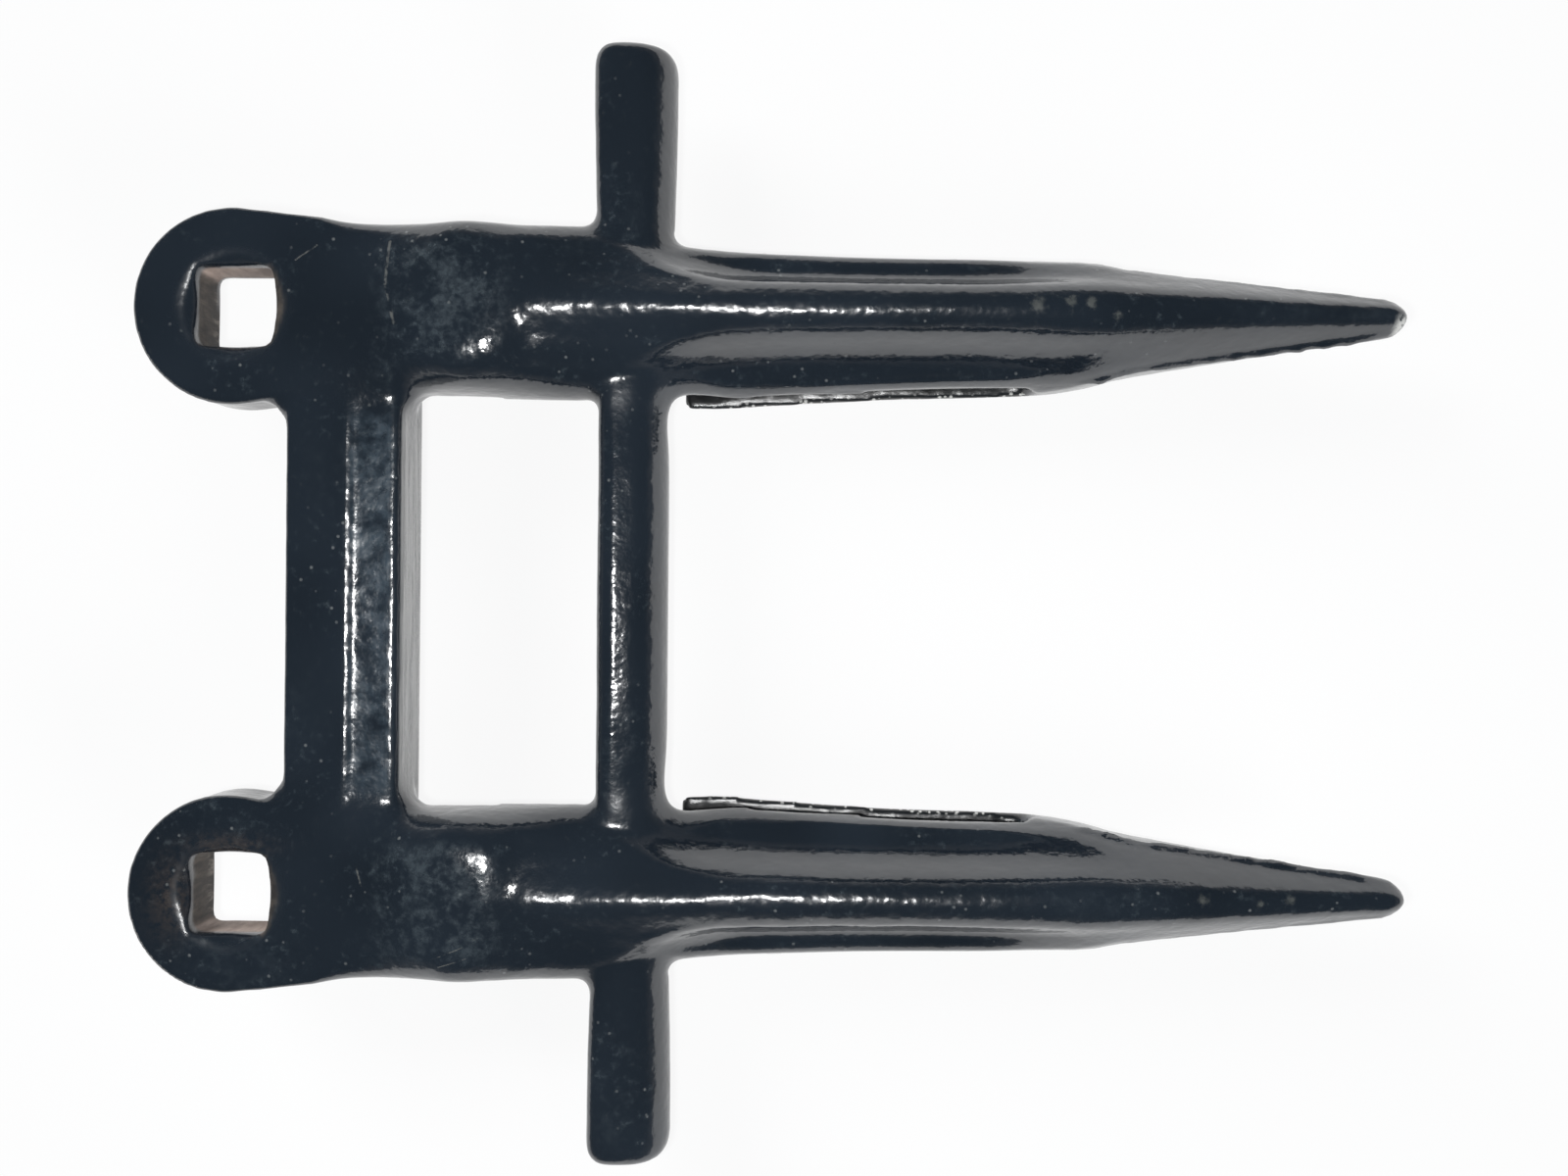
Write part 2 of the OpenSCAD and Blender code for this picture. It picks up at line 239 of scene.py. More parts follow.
def edge_list(mesh):
    edges = np.empty(len(mesh.edges) * 2, dtype=np.int32)
    mesh.edges.foreach_get("vertices", edges)
    return edges.reshape(-1, 2)


def neighbour_mean(values, edges, degree):
    """For each point, the mean of the values of the points that share an edge with it."""
    out = np.zeros_like(values)
    for axis in range(values.shape[1]):
        out[:, axis] = np.bincount(edges[:, 0], values[edges[:, 1], axis], len(values))
        out[:, axis] += np.bincount(edges[:, 1], values[edges[:, 0], axis], len(values))
    return out / degree[:, None]


def vertex_normals(mesh):
    normals = np.empty(len(mesh.vertices) * 3, dtype=np.float32)
    mesh.vertex_normals.foreach_get("vector", normals)
    return normals.reshape(-1, 3).astype(np.float64)


# The casting's skin

def skin_mesh(source):
    """An even mesh of the solid, without its facets."""
    work = bpy.data.objects.new("skin_work", source.data.copy())
    bpy.context.scene.collection.objects.link(work)
    bm = bmesh.new()
    bm.from_mesh(work.data)
    bmesh.ops.remove_doubles(bm, verts=bm.verts, dist=WELD)
    bm.to_mesh(work.data)
    bm.free()
    remesh = work.modifiers.new("even", "REMESH")
    remesh.mode = "VOXEL"
    remesh.voxel_size = VOXEL * MM
    remesh.adaptivity = 0.0
    graph = bpy.context.evaluated_depsgraph_get()
    made = bpy.data.meshes.new_from_object(work.evaluated_get(graph))
    used = work.data
    bpy.data.objects.remove(work)
    bpy.data.meshes.remove(used)
    made.name = "guard_skin"
    return made


mesh = skin_mesh(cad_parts["knife_guard"])
edges = edge_list(mesh)
count = len(mesh.vertices)
degree = np.bincount(edges.ravel(), minlength=count).astype(np.float64)
co = np.empty(count * 3, dtype=np.float32)
mesh.vertices.foreach_get("co", co)
co = co.reshape(-1, 3).astype(np.float64) / MM


def relax(points, rounds, weight, push_back=PUSH_BACK):
    """Smooths as far as each point's weight lets it, and keeps the volume where it pushes back."""
    for _ in range(rounds):
        points = points + PULL * weight[:, None] * (neighbour_mean(points, edges, degree) - points)
        if push_back:
            points = points + push_back * weight[:, None] * (neighbour_mean(points, edges, degree) - points)
    return points


def put(points):
    """Writes points in millimetres to the mesh."""
    mesh.vertices.foreach_set("co", (points * MM).astype(np.float32).ravel())
    mesh.update()


# First the steps of the even mesh go, then the hollows between the walls fill as the poured metal does
co = relax(co, EVEN_ROUNDS, np.ones(count))
put(co)
side = np.abs(co[:, 1]) - FINGER_Y
slot_zone = (co[:, 2] < LEDGER_Z + 0.8) * band(co[:, 0], SLOT_X)
hole_zone = 1.0 - smooth_step(8.0, 9.5, np.hypot(co[:, 0], side))
under_zone = 1.0 - smooth_step(-0.6, 0.6, co[:, 2])
free = np.clip(1.0 - slot_zone - hole_zone - 0.7 * under_zone, 0.0, 1.0)
for _ in range(FILL_PASSES):
    normals = vertex_normals(mesh)
    offset = neighbour_mean(co, edges, degree) - co
    hollow = np.einsum("ij,ij->i", offset, normals)
    fill = smooth_step(0.004, 0.03, hollow)[:, None]
    for _ in range(FILL_SPREAD):
        fill = np.maximum(fill, neighbour_mean(fill, edges, degree))
    co = relax(co, FILL_ROUNDS, fill[:, 0] * free, NO_PUSH)
    put(co)

# The lug runs into the boss without a line, and the front bar into the flange
side = np.abs(co[:, 1]) - FINGER_Y
shoulder = band(co[:, 0], SHOULDER_X) * (1.0 - smooth_step(11.0, 13.0, np.abs(side)))
shoulder = shoulder * smooth_step(3.0, 6.0, co[:, 2])
bar_corner = band(co[:, 0], BAR_CORNER_X) * bump_at(side, -12.0, 4.5)
bar_corner = bar_corner * smooth_step(LEDGER_Z, LEDGER_Z + 1.0, co[:, 2])
co = relax(co, SHOULDER_ROUNDS, np.maximum(shoulder, bar_corner) * (1.0 - hole_zone), NO_PUSH)
# The inner flanks of the ribs are even
flank = band(co[:, 0], FLANK_X) * bump_at(-side, 4.8, 1.5)
flank = flank * smooth_step(LEDGER_Z + 1.0, LEDGER_Z + 2.0, co[:, 2])
co = relax(co, FLANK_ROUNDS, flank, NO_PUSH)
co = relax(co, LAST_ROUNDS, 1.0 - 0.5 * hole_zone)
put(co)

# Then come the forms that are too fine for the solid. Lengths are in millimetres, side is the distance from
# the middle of the finger, positive outwards, and the parts of a normal run from -1 to 1
normals = vertex_normals(mesh)
x = co[:, 0]
z = co[:, 2]
# The boss has a level top that drops to a ridge in front of it, between sides that slope like a roof
upward = smooth_step(0.6, 0.9, normals[:, 2])
on_boss = (1.0 - smooth_step(6.5, 10.5, np.abs(side))) * upward
ridge = band(x, RIDGE_X) * bump_at(side, RIDGE_SIDE, 1.3) * upward
roof = band(x, ROOF_X) * smooth_step(1.0, 4.5, np.abs(side - RIDGE_SIDE))
boss_step = BOSS_TOP_RISE * band(x, BOSS_TOP_X) - BOSS_DROP * band(x, BOSS_DROP_X)
z = z + on_boss * boss_step + RIDGE_RISE * ridge - ROOF_DROP * roof * on_boss
# The flange's outer half lies flatter
outer_flange = band(x, OUTER_FLANGE_X) * smooth_step(4.8, 8.6, side)
z = z + OUTER_FLANGE_RISE * outer_flange * smooth_step(0.25, 0.55, normals[:, 2])
co[:, 2] = z
# The edges of the lugs and of the flanges' inner sides are tight
level_share = np.hypot(normals[:, 0], normals[:, 1])
corner = np.clip(2.0 * normals[:, 2] * level_share, 0.0, 1.0) ** 2
lug_rim = smooth_step(9.5, 11.0, np.hypot(x + LUG_BACK, side)) * (1.0 - smooth_step(6.0, 14.0, x))
lug_wall = lug_rim * level_share
lug_rim = lug_rim * smooth_step(4.5, 6.0, z)
flange_edge = np.interp(x, (LIP_BACK, SLOT_FRONT), (FLANGE_BACK_HALF, FLANGE_FRONT_HALF))
inner_flange = band(x, INNER_FLANGE_X) * (side < 0) * smooth_step(-2.0, -1.2, -side - flange_edge)
inner_flange = inner_flange * smooth_step(LEDGER_Z - 0.6, LEDGER_Z + 0.2, z)
# A thin fin of metal is left along the parting line of the tips
fin_z = np.interp(x, *zip(*PARTING_LINE))
fin = bump_at(z, fin_z - 0.1, 0.55) * band(x, FIN_X) * level_share
fin = fin * (0.8 + 0.4 * value_noise(co, size=1.6, seed=8)) * (0.2 + 0.8 * (side < 0))
# Slow waves, the front bar's crown, beads along the rear bar, rough lip edges and a trace of the parting line
wave = np.zeros(count)
for height, grain, seed in WAVES:
    wave = wave + height * value_noise(co, grain, seed)
quiet = 1.0 - 0.8 * under_zone * (1.0 - slot_zone)
between = 1.0 - smooth_step(22.0, 27.0, np.abs(co[:, 1]))
crown = bump_at(x, FRONT_BAR_BACK + 2.2, 1.1) * smooth_step(3.0, 4.5, z) * between
crease = bump_at(x, BAR_CREASE, 0.55) * smooth_step(4.0, 6.5, z) * between
front_edge = bump_at(x, BAR_FRONT - 0.8, 0.6) * smooth_step(4.5, 6.0, z) * between
lip_edge = slot_zone * bump_at(z, LIP_TOP, 0.8)
parting = bump_at(z, 1.2, 0.7) * bump_at(x, FRONT_BAR_BACK, 0.9) * between
lump = wave * quiet + LUG_RIM_RISE * corner * lug_rim - LUG_WALL_DROP * lug_wall
lump += INNER_FLANGE_RISE * corner * inner_flange
lump += FIN_RISE * fin
lump += CROWN_RISE * crown
lump += CREASE_RISE * crease * (1.0 + 0.5 * value_noise(co, size=5.0, seed=4))
lump += FRONT_EDGE_RISE * front_edge * (1.0 + 0.6 * value_noise(co, size=4.0, seed=5))
lump += LIP_EDGE_RISE * lip_edge * value_noise(co, size=1.5, seed=6)
lump += PARTING_RISE * parting * (0.4 + value_noise(co, size=1.8, seed=7))
# The flange reaches farther inwards at its rear end
reach = FLANGE_REACH * band(x, FLANGE_REACH_X) * smooth_step(5.5, 9.5, -side)
reach = reach * smooth_step(LEDGER_Z - 1.5, LEDGER_Z - 0.5, z)
co = co + normals * lump[:, None]
co[:, 1] -= np.sign(co[:, 1]) * reach
co = np.clip(co, np.array(cad_low) / MM + SKIN_INSET, np.array(cad_high) / MM - SKIN_INSET)
put(co)

for polygon in mesh.polygons:
    polygon.use_smooth = True

casting = bpy.data.objects.new("casting_skin", mesh)
bpy.context.scene.collection.objects.link(casting)
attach(casting, "root")
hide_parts("knife_guard")


# Masks for the finish, one number per point

def mask(name, values):
    """Keeps values from 0 to 1 on the mesh, for the material to read."""
    layer = mesh.attributes.new(name, "FLOAT", "POINT")
    layer.data.foreach_set("value", np.clip(values, 0.0, 1.0).astype(np.float32))


normals = vertex_normals(mesh)
x = co[:, 0]
y = co[:, 1]
z = co[:, 2]
up = normals[:, 2]
side = np.abs(y) - FINGER_Y
radial = np.hypot(x, side)
upright = 1.0 - smooth_step(0.25, 0.6, np.abs(up))
facing_up = smooth_step(0.3, 0.8, up)
inner_face = -normals[:, 1] * np.sign(y)
# Rust in the square holes, and a worn patch beside the lower one
in_hole = 1.0 - smooth_step(7.6, 8.2, radial)
bare_wall = in_hole * upright * (1.0 - smooth_step(6.3, 6.9, z))
worn_cone = in_hole * smooth_step(0.2, 0.6, -normals[:, 0]) * smooth_step(6.0, 6.8, z)
rust_patches = smooth_step(-0.75, -0.45, value_noise(co, size=4.0, seed=10))
mask("rust", np.maximum(bare_wall, 0.75 * worn_cone) * rust_patches)
# Painted light: the hole walls that face the other hole, towards the lens lamp, get the lighter copy of the
# rust
mask("rust_painted_lit_side", smooth_step(0.3, 0.8, inner_face) * (1.0 - worn_cone))
mask("rust_low", 1.0 - smooth_step(0.6, 2.8, z))
worn_left = bump_at(x, -7.0, 2.8) * bump_at(y, -FINGER_Y - 0.4, 4.5)
worn_top = bump_at(x, 0.0, 5.0) * bump_at(y, -FINGER_Y + 6.4, 1.2)
mask("worn", np.maximum(worn_left, worn_top) * facing_up)
# Bare metal on the upper finger's tip, painted near white as a glint only where it faces up and inwards
# towards the lamp, and chips along the crests
tip = smooth_step(TIP_X - 2.4, TIP_X - 1.4, x) * (1.0 - smooth_step(0.6, 0.9, normals[:, 0]))
mask("tip", tip * smooth_step(-0.2, 0.3, inner_face) * (y > 0) * smooth_step(0.1, 0.4, up))
crest = bump_at(side, 0.0, 2.4) * smooth_step(0.7, 0.95, up) * smooth_step(62.0, 92.0, x)
mask("crest", crest * smooth_step(-0.2, 0.5, value_noise(co, size=9.0, seed=11)))
chips = np.zeros(count)
for chip_x, chip_y, half_length, half_width in CHIPS:
    chips = np.maximum(chips, bump_at(x, chip_x, half_length) * bump_at(y, chip_y, half_width))
mask("chips", chips * smooth_step(0.2, 0.5, up))
# Dust and a painted sheen on the rear bar's front facet, a painted reflection of the table in streaks on the
# rear bar's front wall and the window's walls, and scuffs on the bosses
mask("dust_and_sheen", band(x, FACET_X) * between * facing_up)
# Painted reflection of the table: full on the rear bar's front wall, a fifth as strong on the window's walls
bar_wall = bump_at(x, BAR_FRONT, 0.6) * between
window_wall = band(x, WINDOW_WALL_X) * (side < 0) * (1.0 - between)
mask("wall", upright * np.maximum(bar_wall, 0.2 * window_wall))
scuff = band(x, SCUFF_X) * (1.0 - between)
scuff = np.maximum(scuff, 0.3 * smooth_step(-0.2, 0.6, value_noise(co, size=16.0, seed=12)))
mask("scuff", scuff * smooth_step(0.85, 0.97, up))
# Lips painted darker as painted shade of the slots, painted glints on their rough edges, dull corners and
# countersink rims, and beads that catch the light
lip = slot_zone * (z < LIP_TOP + 0.6)
mask("lip", lip)
saddle = bump_at(x, FRONT_BAR_BACK + 2.6, 3.5) * bump_at(side, -11.5, 2.5)
sink_rim = bump_at(radial, 7.0, 0.8) * smooth_step(6.0, 7.0, z)
mask("dull", np.maximum(lip, np.maximum(saddle, sink_rim)))
# Painted glints: pale specks along the lips' inner edges
mask("lip_edge_glints", slot_zone * (z < LIP_TOP + 0.2) * smooth_step(0.15, 0.5, inner_face))
keel = bump_at(side, 0.0, 3.0) * band(x, KEEL_X)
mask("beads", smooth_step(0.6, 0.9, up) * np.maximum(keel, np.maximum(crease, front_edge)))
mask("tone", 0.5 + 0.5 * value_noise(co, size=9.0, seed=13))
mask("specks", smooth_step(-0.4, 0.4, value_noise(co, size=6.0, seed=14)) * facing_up)


# Materials

def colour(tone):
    """An sRGB colour from 0 to 255 as Blender's linear values."""
    out = []
    for v in tone:
        v = v / 255.0
        out.append(v / 12.92 if v <= 0.04045 else ((v + 0.055) / 1.055) ** 2.4)
    return (*out, 1.0)


def grey(value):
    return (value, value, value, 1.0)


class Nodes:
    """Short names for the nodes of one material or world."""

    def __init__(self, owner):
        owner.use_nodes = True
        self.tree = owner.node_tree
        self.tree.nodes.clear()

    def new(self, kind, **values):
        node = self.tree.nodes.new(kind)
        for key, value in values.items():
            setattr(node, key, value)
        return node

    def link(self, source, target):
        self.tree.links.new(source, target)

    def feed(self, socket, value):
        if isinstance(value, bpy.types.NodeSocket):
            self.link(value, socket)
        else:
            socket.default_value = value

    def math(self, operation, a, b):
        node = self.new("ShaderNodeMath", operation=operation)
        self.feed(node.inputs[0], a)
        self.feed(node.inputs[1], b)
        return node.outputs[0]

    def mask(self, name):
        node = self.new("ShaderNodeAttribute", attribute_type="GEOMETRY", attribute_name=name)
        return node.outputs["Fac"]

    def noise(self, place, scale, detail, rough):
        """Noise whose scale is in grains per metre."""
        node = self.new("ShaderNodeTexNoise")
        self.feed(node.inputs["Vector"], place)
        self.feed(node.inputs["Scale"], scale)
        self.feed(node.inputs["Detail"], detail)
        self.feed(node.inputs["Roughness"], rough)
        return node.outputs["Fac"]

    def cells(self, place, scale):
        """Distance to the middle of the nearest of many cells."""
        node = self.new("ShaderNodeTexVoronoi")
        self.feed(node.inputs["Vector"], place)
        self.feed(node.inputs["Scale"], scale)
        return node.outputs["Distance"]

    def step(self, value, low, high):
        node = self.new("ShaderNodeMapRange", interpolation_type="SMOOTHSTEP")
        self.feed(node.inputs["Value"], value)
        self.feed(node.inputs["From Min"], low)
        self.feed(node.inputs["From Max"], high)
        return node.outputs["Result"]

    def patches(self, name, value, low, high):
        """A mask broken up by a noise."""
        return self.math("MULTIPLY", self.mask(name), self.step(value, low, high))

    def stretch(self, place, x, y, z):
        node = self.new("ShaderNodeVectorMath", operation="MULTIPLY")
        self.feed(node.inputs[0], place)
        node.inputs[1].default_value = (x, y, z)
        return node.outputs[0]

    def stroke(self, place, start, end, half_width):
        """1 on a straight scratch seen from above, 0 beside it."""
        a = Vector((*start, 0.0)) * MM
        b = Vector((*end, 0.0)) * MM
        flat = self.stretch(place, 1.0, 1.0, 0.0)
        away = self.new("ShaderNodeVectorMath", operation="SUBTRACT")
        self.feed(away.inputs[0], flat)
        away.inputs[1].default_value = a
        along = self.new("ShaderNodeVectorMath", operation="DOT_PRODUCT")
        self.link(away.outputs[0], along.inputs[0])
        along.inputs[1].default_value = (b - a).normalized()
        run = self.math("MINIMUM", self.math("MAXIMUM", along.outputs["Value"], 0.0), (b - a).length)
        foot = self.new("ShaderNodeVectorMath", operation="SCALE")
        foot.inputs[0].default_value = (b - a).normalized()
        self.link(run, foot.inputs["Scale"])
        gap = self.new("ShaderNodeVectorMath", operation="DISTANCE")
        self.link(away.outputs[0], gap.inputs[0])
        self.link(foot.outputs[0], gap.inputs[1])
        edge = half_width * MM
        core = edge * 0.4
        return self.step(gap.outputs["Value"], low=edge, high=core)

    def blend(self, factor, a, b):
        node = self.new("ShaderNodeMix", data_type="RGBA")
        self.feed(node.inputs["Factor"], factor)
        self.feed(node.inputs[6], a)
        self.feed(node.inputs[7], b)
        return node.outputs[2]

    def cover(self, under, where, share, tone):
        """A colour laid over another, as far as where and share say."""
        return self.blend(self.math("MULTIPLY", where, share), under, colour(tone))

    def lerp(self, factor, a, b):
        node = self.new("ShaderNodeMix", data_type="FLOAT")
        self.feed(node.inputs["Factor"], factor)
        self.feed(node.inputs[2], a)
        self.feed(node.inputs[3], b)
        return node.outputs[0]


def enamel_material():
    material = bpy.data.materials.new("blue_black_enamel")
    n = Nodes(material)
    out = n.new("ShaderNodeOutputMaterial")
    shader = n.new("ShaderNodeBsdfPrincipled")
    n.link(shader.outputs[0], out.inputs[0])
    place = n.new("ShaderNodeTexCoord").outputs["Object"]

    ragged = n.noise(place, scale=900.0, detail=4.0, rough=0.65)
    cloud = n.noise(place, scale=330.0, detail=4.0, rough=0.65)

    # Slow change of tone in the dipped paint, with a painted reflection of the table in pale streaks along
    # the walls
    paint = n.blend(n.mask("tone"), colour(PAINT_DARK), colour(PAINT_LIGHT))
    wall_streak_noise = n.noise(n.stretch(place, x=0.12, y=0.08, z=1.5), scale=900.0, detail=2.0, rough=0.55)
    reflection_streaks = n.patches("wall", wall_streak_noise, low=0.2, high=0.7)
    paint = n.cover(paint, reflection_streaks, share=0.75, tone=PAINTED_WALL_REFLECTION)
    # Scuffs on the bosses, dust with a painted sheen on the rear bar's front facet, specks and smears on all
    # level faces
    scuff = n.patches("scuff", n.math("ADD", cloud, ragged), low=0.86, high=1.35)
    paint = n.cover(paint, scuff, share=0.4, tone=SCUFFED_PAINT)
    dust_and_sheen_film = n.patches("dust_and_sheen", cloud, low=0.3, high=0.72)
    paint = n.cover(paint, dust_and_sheen_film, share=0.45, tone=DUST_AND_SHEEN_FILM)
    dust = n.patches("specks", n.cells(place, scale=520.0), low=0.15, high=0.05)
    paint = n.cover(paint, dust, share=0.4, tone=DUST_SPECK)
    smear = n.patches("specks", ragged, low=0.54, high=0.72)
    paint = n.cover(paint, smear, share=0.3, tone=SMEARED_DUST)
    scratch = 0.0
    for start, end, half_width in SCRATCHES:
        scratch = n.math("MAXIMUM", n.stroke(place, start, end, half_width), scratch)
    scratch = n.math("MULTIPLY", scratch, n.step(ragged, low=0.4, high=0.6))
    paint = n.cover(paint, scratch, share=0.55, tone=SCRATCHED_PAINT)
    # Chips on the crests show primer; the upper tip shows bare metal, painted near white as its glint, and
    # the lips' rough edges get painted glints in the same colour
    ragged_chips = n.math("ADD", n.mask("chips"), n.math("MULTIPLY", ragged, 1.8))
    small_chip = n.patches("crest", ragged, low=0.66, high=0.74)
    chip = n.math("MAXIMUM", n.step(ragged_chips, low=1.1, high=1.9), n.math("MULTIPLY", small_chip, 0.6))
    paint = n.cover(paint, chip, share=0.4, tone=PRIMER)
    # Painted shade: the lips get a darker colour where the slots shade them
    paint = n.blend(n.mask("lip"), paint, colour(LIP_PAINTED_SHADE))
    bare_tip_and_glint = n.patches("tip", ragged, low=0.36, high=0.5)
    lip_edge_glints = n.patches("lip_edge_glints", n.cells(place, scale=1150.0), low=0.34, high=0.24)
    bare_metal_and_glints = n.math("MAXIMUM", bare_tip_and_glint, lip_edge_glints)
    paint = n.cover(paint, bare_metal_and_glints, share=0.9, tone=BARE_METAL_AND_GLINT)
    # Rust on the walls of the square holes, with painted light: lightest on the side that faces the other
    # hole, towards the lens lamp
    rust_noise = n.noise(n.stretch(place, x=1.0, y=1.0, z=0.25), scale=700.0, detail=3.0, rough=0.65)
    dark_spots = n.step(rust_noise, low=0.35, high=0.72)
    dark_rust = n.blend(dark_spots, colour(DARK_RUST_LOW), colour(DARK_RUST_HIGH))
    pale = n.patches("rust_low", rust_noise, low=0.46, high=0.62)
    dark_rust = n.cover(dark_rust, pale, share=0.8, tone=PALE_STROKE)
    painted_lit_spots = n.step(rust_noise, low=0.3, high=0.7)
    painted_lit_rust = n.blend(painted_lit_spots, colour(PAINTED_LIT_RUST_LOW), colour(PAINTED_LIT_RUST_HIGH))
    rust = n.mask("rust")
    paint = n.blend(rust, paint, n.blend(n.mask("rust_painted_lit_side"), dark_rust, painted_lit_rust))
    worn = n.patches("worn", ragged, low=0.36, high=0.6)
    paint = n.cover(paint, worn, share=0.5, tone=WORN_BROWN)
    n.link(paint, shader.inputs["Base Color"])

    # Gloss: clean enamel, duller where there is dust, wear or rust
    gloss = n.lerp(cloud, ROUGH_ENAMEL_LOW, ROUGH_ENAMEL_HIGH)
    gloss = n.lerp(n.mask("beads"), gloss, ROUGH_BEADS)
    gloss = n.lerp(n.math("MAXIMUM", dust_and_sheen_film, scuff), gloss, ROUGH_DUSTY)
    gloss = n.lerp(n.math("MAXIMUM", chip, bare_metal_and_glints), gloss, ROUGH_BARE)
    gloss = n.lerp(n.mask("dull"), gloss, ROUGH_DULL)
    gloss = n.lerp(rust, gloss, ROUGH_RUST)
    n.link(gloss, shader.inputs["Roughness"])
    shader.inputs["IOR"].default_value = ENAMEL_IOR

    # Heights in millimetres: the grain of the sand mould and orange peel
    grain = n.noise(place, scale=480.0, detail=1.0, rough=0.5)
    peel = n.noise(place, scale=1400.0, detail=1.0, rough=0.5)
    depth = n.lerp(n.mask("beads"), GRAIN_DEPTH, BEAD_GRAIN_DEPTH)
    height = n.math("ADD", n.math("MULTIPLY", grain, depth), n.math("MULTIPLY", peel, PEEL_DEPTH))
    bump = n.new("ShaderNodeBump")
    bump.inputs["Strength"].default_value = 1.0
    bump.inputs["Distance"].default_value = MM
    n.link(height, bump.inputs["Height"])
    n.link(bump.outputs[0], shader.inputs["Normal"])
    return material


mesh.materials.clear()
mesh.materials.append(enamel_material())


# The table, on the plane that the lips and the rear bar rest on

# Half the table's width in metres, its grey, and how much of it glows where it is seen
TABLE_HALF = 3.0
TABLE_GREY = 0.86
TABLE_GLOW_SHARE = 0.88
# Gap in millimetres that keeps the table's face apart from the lips' faces
TABLE_CLEARANCE = 0.03
# Angles in degrees that are tried for the table
STEEPEST_REST = 10.0
REST_STEP = 0.02


def resting_plane():
    """Height in millimetres at X = 0, and fall along X, of the plane under the lips and the rear bar."""
    lip_part = co[co[:, 0] > LIP_BACK - 4.0]
    bar_part = co[co[:, 0] < BAR_FRONT + 1.0]
    for angle in np.arange(0.0, STEEPEST_REST, REST_STEP):
        slope = math.tan(math.radians(angle))
        front = (lip_part[:, 2] + slope * lip_part[:, 0]).min()
        rear = (bar_part[:, 2] + slope * bar_part[:, 0]).min()
        if rear > front:
            break
    else:
        slope = 0.0
    level = (co[:, 2] + slope * co[:, 0]).min() - TABLE_CLEARANCE
    return level, slope


def table_material():
    material = bpy.data.materials.new("white_table")
    n = Nodes(material)
    out = n.new("ShaderNodeOutputMaterial")
    matt = n.new("ShaderNodeBsdfDiffuse")
    matt.inputs["Color"].default_value = grey(TABLE_GREY)
    glow = n.new("ShaderNodeEmission")
    glow.inputs["Color"].default_value = grey(1.0)
    glow.inputs["Strength"].default_value = 1.0
    path = n.new("ShaderNodeLightPath")
    seen = n.math("MAXIMUM", path.outputs["Is Camera Ray"], path.outputs["Is Glossy Ray"])
    seen = n.math("MAXIMUM", seen, path.outputs["Is Transmission Ray"])
    mix = n.new("ShaderNodeMixShader")
    n.link(n.math("MULTIPLY", seen, TABLE_GLOW_SHARE), mix.inputs[0])
    n.link(matt.outputs[0], mix.inputs[1])
    n.link(glow.outputs[0], mix.inputs[2])
    n.link(mix.outputs[0], out.inputs[0])
    return material


level, slope = resting_plane()
floor_mesh = bpy.data.meshes.new("table")
corners = []
for along, across in ((-1, -1), (1, -1), (1, 1), (-1, 1)):
    corner_x = along * TABLE_HALF
    corners.append((corner_x, across * TABLE_HALF, level * MM - slope * corner_x))
floor_mesh.from_pydata(corners, [], [(0, 1, 2, 3)])
table = bpy.data.objects.new("table", floor_mesh)
bpy.context.scene.collection.objects.link(table)
table.data.materials.append(table_material())


# Light: a dim room with a bright skirt, a soft lamp on either side and a small lamp beside the lens

# Heights on the ramp, from the horizon at 0 to straight up at 1, and their colours
SKIRT_TOP = 0.03
SKIRT_COLOUR = grey(0.85)
WALL_FOOT = 0.1
WALL_COLOUR = (0.17, 0.18, 0.195, 1.0)
CEILING = 0.45
CEILING_COLOUR = (0.064, 0.084, 0.104, 1.0)
# The point that the lamps face, in metres
LAMP_TARGET = (0.07, 0.0, 0.0)


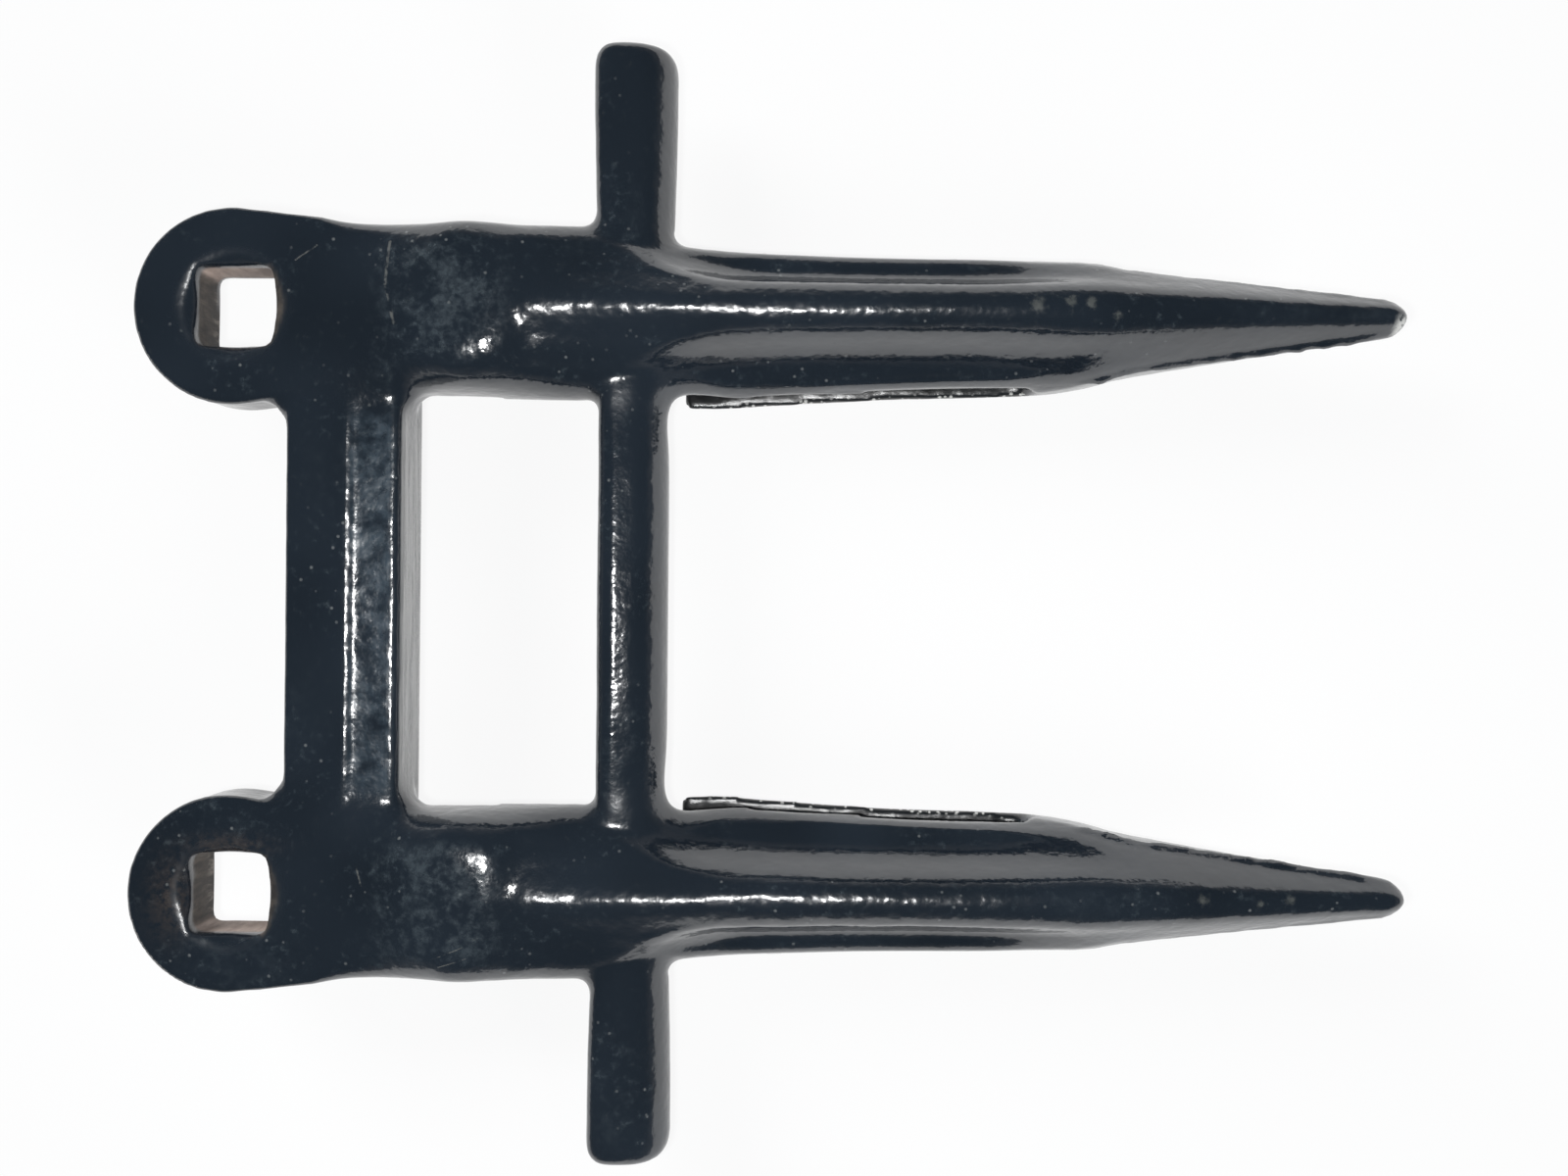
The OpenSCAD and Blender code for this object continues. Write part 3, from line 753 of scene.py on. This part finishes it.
def room():
    world = bpy.data.worlds.new("room")
    bpy.context.scene.world = world
    n = Nodes(world)
    out = n.new("ShaderNodeOutputWorld")
    back = n.new("ShaderNodeBackground")
    place = n.new("ShaderNodeTexCoord")
    split = n.new("ShaderNodeSeparateXYZ")
    ramp = n.new("ShaderNodeValToRGB")
    n.link(place.outputs["Generated"], split.inputs[0])
    n.link(split.outputs["Z"], ramp.inputs[0])
    ramp.color_ramp.interpolation = "EASE"
    skirt, ceiling = ramp.color_ramp.elements
    skirt.position = SKIRT_TOP
    skirt.color = SKIRT_COLOUR
    ceiling.position = CEILING
    ceiling.color = CEILING_COLOUR
    ramp.color_ramp.elements.new(WALL_FOOT).color = WALL_COLOUR
    n.link(ramp.outputs[0], back.inputs[0])
    back.inputs[1].default_value = 1.0
    n.link(back.outputs[0], out.inputs[0])


def lamp(name, size, power, where):
    """A round lamp of a size in metres and a power in watts, turned to the casting."""
    data = bpy.data.lights.new(name, "AREA")
    data.shape = "DISK"
    data.size = size
    data.energy = power
    holder = bpy.data.objects.new(name, data)
    bpy.context.scene.collection.objects.link(holder)
    holder.location = Vector(where)
    holder.rotation_euler = (Vector(LAMP_TARGET) - Vector(where)).to_track_quat("-Z", "Y").to_euler()
    return holder


room()
lamp("lens_lamp", size=0.012, power=0.2, where=(0.058, -0.008, 0.188))
left_soft = lamp("left_soft", size=0.7, power=13.0, where=(-0.75, 0.7, 0.55))
left_soft.visible_glossy = False
right_soft = lamp("right_soft", size=0.7, power=11.0, where=(0.9, -0.75, 0.5))
right_soft.visible_glossy = False


# The camera, fitted to the photograph

# The photograph's width and the focal length, both in its pixels
PHOTO_WIDTH = 1600.0
FOCAL_PIXELS = 1400.0
# The sensor's width and the camera's place in millimetres, and the nearest distance it sees in metres
SENSOR_WIDTH = 36.0
CAMERA_PLACE = (75.06, 1.05, 184.11)
NEAREST = 0.005
# Turns of the camera, in degrees
TILT_X = -0.32
TILT_Y = -1.12
ROLL = -0.45


def camera():
    data = bpy.data.cameras.new("photo_camera")
    data.sensor_width = SENSOR_WIDTH
    data.lens = FOCAL_PIXELS / PHOTO_WIDTH * SENSOR_WIDTH
    data.clip_start = NEAREST
    holder = bpy.data.objects.new("photo_camera", data)
    bpy.context.scene.collection.objects.link(holder)
    tilt_x = Matrix.Rotation(math.radians(TILT_X), 3, "X")
    tilt_y = Matrix.Rotation(math.radians(TILT_Y), 3, "Y")
    roll = Matrix.Rotation(math.radians(ROLL), 3, "Z")
    to_camera = roll @ tilt_y @ tilt_x
    spot = Matrix.Translation(Vector(CAMERA_PLACE) * MM)
    holder.matrix_world = spot @ to_camera.transposed().to_4x4()
    bpy.context.scene.camera = holder


camera()
bpy.context.scene.view_settings.view_transform = "Standard"
